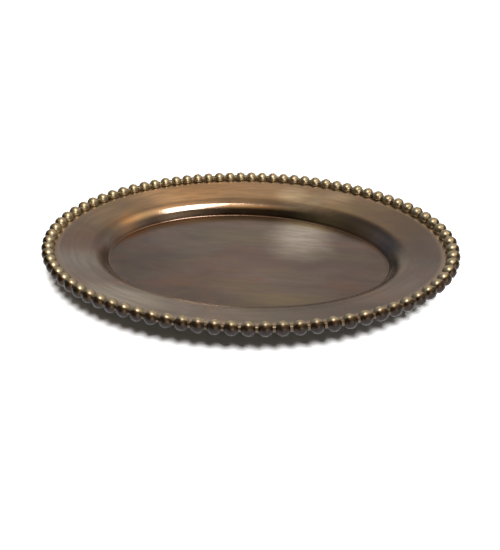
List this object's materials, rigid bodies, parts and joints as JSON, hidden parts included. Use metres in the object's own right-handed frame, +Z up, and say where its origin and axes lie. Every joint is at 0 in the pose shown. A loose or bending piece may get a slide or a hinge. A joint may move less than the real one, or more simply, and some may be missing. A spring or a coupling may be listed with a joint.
{
  "type": "beaded oval tray",
  "caption": "Shallow oval metal serving tray with a flat well, a wide sloping brim and a border of touching balls, in an antique brown finish.",
  "frame": {"origin": "centre of the flat underside of the well, on the surface that the tray stands on", "axes": "+X along the long axis, towards the right when the long side faces the viewer; +Y along the short axis, away from the viewer; +Z up, out of the dish"},
  "size_m": [0.381, 0.2792, 0.0306],
  "materials": {
    "brown_patina": "satin antique bronze-brown patina with fine brushed lines and mottling, over bare metal",
    "rubbed_bronze": "the same patina rubbed back to a glossier golden bronze on the tops of the balls"
  },
  "bodies": {
    "root": {"dish": "brown_patina", "bead_border_left": "rubbed_bronze", "bead_border_right": "rubbed_bronze"}
  },
  "joints": []
}
